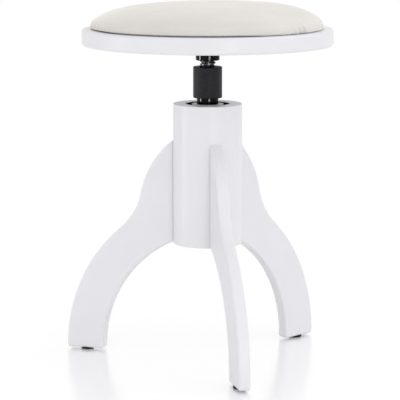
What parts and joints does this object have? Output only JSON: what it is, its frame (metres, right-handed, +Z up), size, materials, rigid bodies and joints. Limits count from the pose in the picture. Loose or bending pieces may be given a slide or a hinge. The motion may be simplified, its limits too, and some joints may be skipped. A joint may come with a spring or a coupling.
{
  "type": "piano stool",
  "caption": "Height-adjustable piano stool: round lacquered seat with a domed soft cushion on a screw spindle, turned column and curved flat-board legs on round glides.",
  "frame": {"origin": "on the floor, on the axis of the column and the seat spindle", "axes": "+Z up along the spindle; -Y towards the front leg; +X to the right seen from the front"},
  "size_m": [0.3666, 0.3822, 0.5018],
  "materials": {
    "cover": "soft short-pile cover, pale ivory",
    "foam": "open-cell foam",
    "plywood": "raw plywood",
    "white_lacquer": "matt white lacquer on wood board",
    "black_gloss": "gloss black enamel on steel",
    "black_oxide": "blackened steel",
    "black_plastic": "matt black moulded plastic",
    "nylon": "natural nylon",
    "zinc_steel": "zinc-plated steel",
    "brass": "turned brass"
  },
  "bodies": {
    "base": {"spindle_nut": "black_oxide", "nut_sleeve": "black_plastic", "guide_tube": "black_gloss", "tube_collar": "nylon", "bore_ring": "black_plastic", "column": "white_lacquer", "base_plate": "black_gloss", "base_screws": "zinc_steel", "leg_bolts": "zinc_steel", "leg_inserts": "brass", "leg_front": "white_lacquer", "leg_left": "white_lacquer", "leg_right": "white_lacquer", "glide_front": "black_plastic", "glide_left": "black_plastic", "glide_right": "black_plastic", "glide_nails": "zinc_steel"},
    "lower_guide": {"guide_bush": "nylon"},
    "seat": {"seat_cover": "cover", "foam_pad": "foam", "cushion_board": "plywood", "cushion_screws": "zinc_steel", "seat_disc": "white_lacquer", "seat_flange": "black_gloss", "flange_screws": "zinc_steel", "spindle": "black_oxide", "spindle_pin": "zinc_steel", "stop_washer": "zinc_steel", "stop_screw": "zinc_steel"}
  },
  "joints": [
    {"name": "seat_rise", "type": "slide", "parent": "base", "child": "lower_guide", "axis": [0, 0, 1], "range_m": [-0.0081, 0.0951]},
    {"name": "seat_spin", "type": "hinge", "parent": "lower_guide", "child": "seat", "pos_m": [0, 0, 0.3], "axis": [0, 0, 1], "range_deg": [-576, 6840]}
  ],
  "couplings": [
    {"joint": "seat_rise", "follows": "seat_spin", "m_per_rad": 0.00079577}
  ]
}
